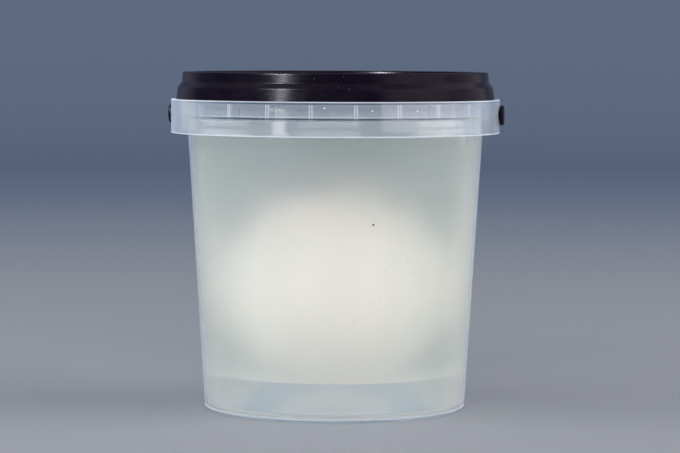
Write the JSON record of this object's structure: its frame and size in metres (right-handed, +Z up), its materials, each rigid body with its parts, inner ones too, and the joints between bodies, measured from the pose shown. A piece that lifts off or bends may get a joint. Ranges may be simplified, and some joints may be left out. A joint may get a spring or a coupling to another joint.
{
  "type": "burrata in brine in a lidded pail",
  "caption": "Ball of burrata in milky brine, shut in its translucent round pail with a deep collar, a black press-on lid and a black swing handle.",
  "frame": {"origin": "middle of the pail's foot ring, on the surface that it stands on", "axes": "+Z up along the pail's axis, +X through the handle's two pivots, +Y towards the side where the handle lies back"},
  "size_m": [0.129, 0.1276, 0.1286],
  "materials": {
    "pail_plastic": "frosted translucent moulding",
    "lid_plastic": "glossy black moulding",
    "handle_plastic": "satin black moulding",
    "brine": "milky pale green-grey liquid",
    "cheese": "moist white skin, faintly cream"
  },
  "bodies": {
    "pail": {"tub": "pail_plastic", "tub_floor": "pail_plastic", "lid": "lid_plastic", "brine": "brine", "burrata": "cheese"},
    "handle": {"handle": "handle_plastic"}
  },
  "joints": [
    {"name": "handle_swing", "type": "hinge", "parent": "pail", "child": "handle", "pos_m": [0, 0, 0.1124], "axis": [1, 0, 0], "range_deg": [-22, 208]}
  ]
}
